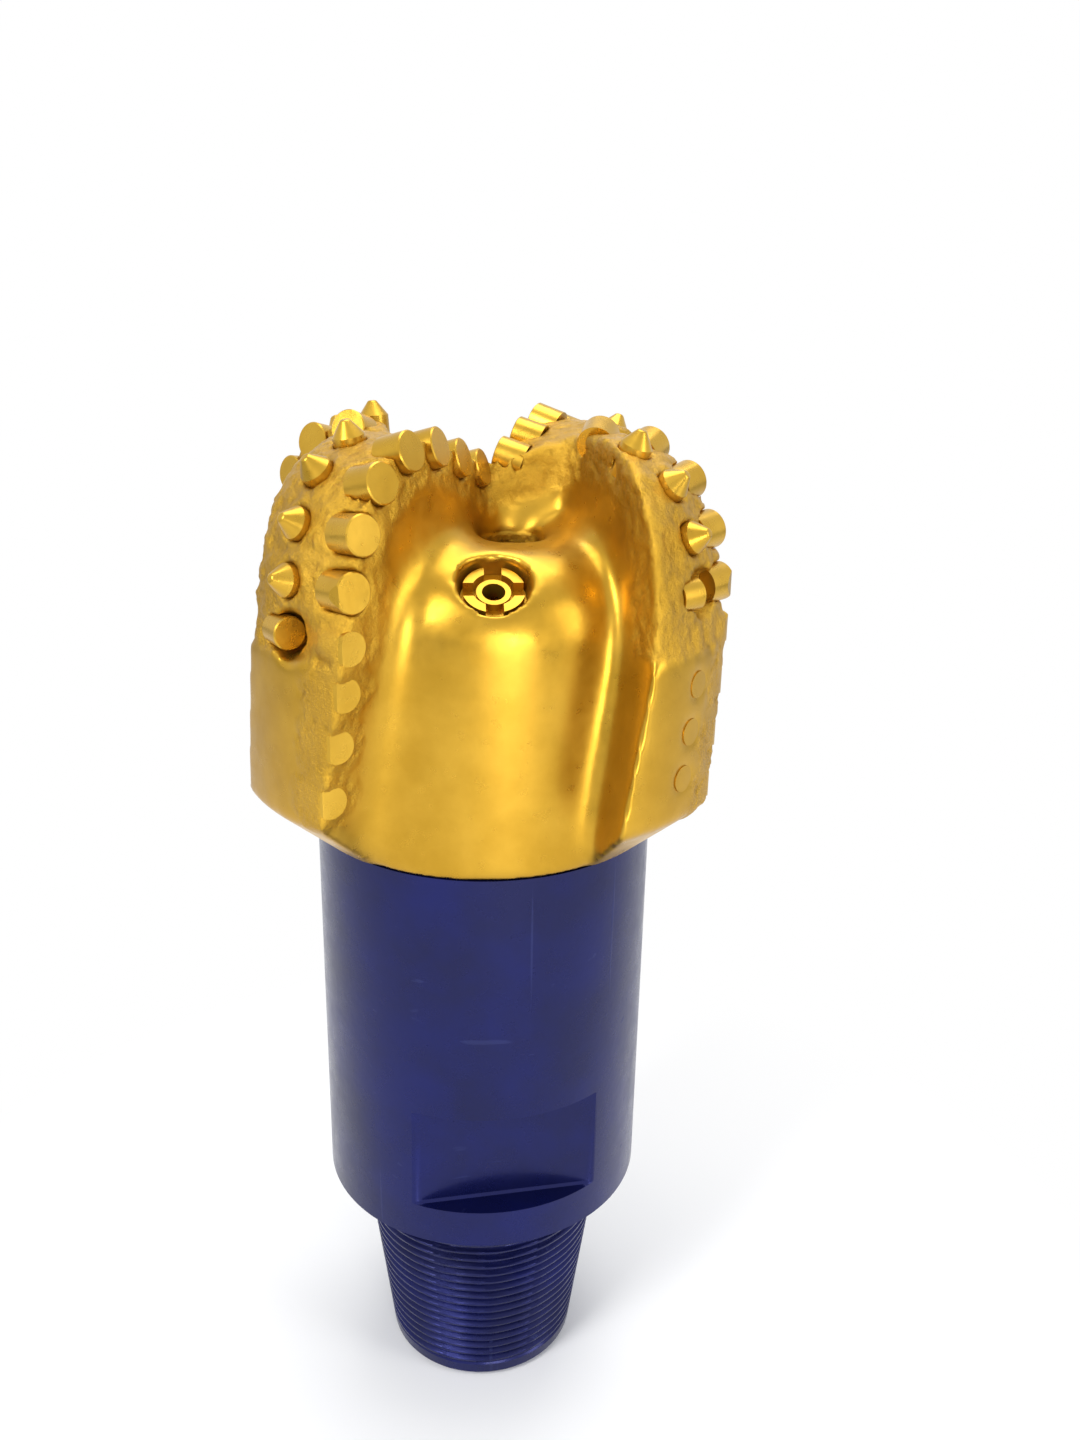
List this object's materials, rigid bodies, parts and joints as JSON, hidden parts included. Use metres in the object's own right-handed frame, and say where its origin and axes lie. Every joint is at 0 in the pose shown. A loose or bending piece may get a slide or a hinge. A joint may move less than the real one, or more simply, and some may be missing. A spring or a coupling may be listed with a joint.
{
  "type": "fixed-cutter drill bit",
  "caption": "Gold-painted steel-bodied rock drill bit with spiral blades, flat disc cutters, conical studs and jet nozzles on a blue shank with a tapered pin.",
  "frame": {"origin": "centre of the pin nose, the lowest face, on the bit's axis", "axes": "+Z along the bit's axis, from the pin nose up to the cutting face; the slot with two jets faces -Y"},
  "size_m": [0.1994, 0.1905, 0.4745],
  "materials": {
    "crown_gold": "satin",
    "cutter_gold": "satin",
    "nozzle_gold": "satin",
    "shank_blue": "gloss",
    "seal_rubber": "matte"
  },
  "bodies": {
    "root": {"blade_1_backup_cutter": "cutter_gold", "blade_1_cutter_1": "cutter_gold", "blade_1_cutter_2": "cutter_gold", "blade_1_cutter_3": "cutter_gold", "blade_1_cutter_4": "cutter_gold", "blade_1_cutter_5": "cutter_gold", "blade_1_cutter_6": "cutter_gold", "blade_1_cutter_7": "cutter_gold", "blade_1_gauge_buttons": "cutter_gold", "blade_1_gauge_cutters": "cutter_gold", "blade_1_studs": "cutter_gold", "blade_2_backup_cutter": "cutter_gold", "blade_2_cutter_1": "cutter_gold", "blade_2_cutter_2": "cutter_gold", "blade_2_cutter_3": "cutter_gold", "blade_2_cutter_4": "cutter_gold", "blade_2_cutter_5": "cutter_gold", "blade_2_gauge_buttons": "cutter_gold", "blade_2_gauge_cutters": "cutter_gold", "blade_2_studs": "cutter_gold", "blade_3_backup_cutter": "cutter_gold", "blade_3_cutter_1": "cutter_gold", "blade_3_cutter_2": "cutter_gold", "blade_3_cutter_3": "cutter_gold", "blade_3_cutter_4": "cutter_gold", "blade_3_cutter_5": "cutter_gold", "blade_3_cutter_6": "cutter_gold", "blade_3_cutter_7": "cutter_gold", "blade_3_gauge_buttons": "cutter_gold", "blade_3_gauge_cutters": "cutter_gold", "blade_3_studs": "cutter_gold", "blade_4_backup_cutter": "cutter_gold", "blade_4_cutter_1": "cutter_gold", "blade_4_cutter_2": "cutter_gold", "blade_4_cutter_3": "cutter_gold", "blade_4_cutter_4": "cutter_gold", "blade_4_gauge_buttons": "cutter_gold", "blade_4_gauge_cutters": "cutter_gold", "blade_4_studs": "cutter_gold", "crown_body": "crown_gold", "nozzle_1": "nozzle_gold", "nozzle_1_seal": "seal_rubber", "nozzle_2": "nozzle_gold", "nozzle_2_seal": "seal_rubber", "nozzle_3": "nozzle_gold", "nozzle_3_seal": "seal_rubber", "nozzle_4": "nozzle_gold", "nozzle_4_seal": "seal_rubber", "nozzle_5": "nozzle_gold", "nozzle_5_seal": "seal_rubber", "nozzle_6": "nozzle_gold", "nozzle_6_seal": "seal_rubber", "shank": "shank_blue"}
  },
  "joints": []
}
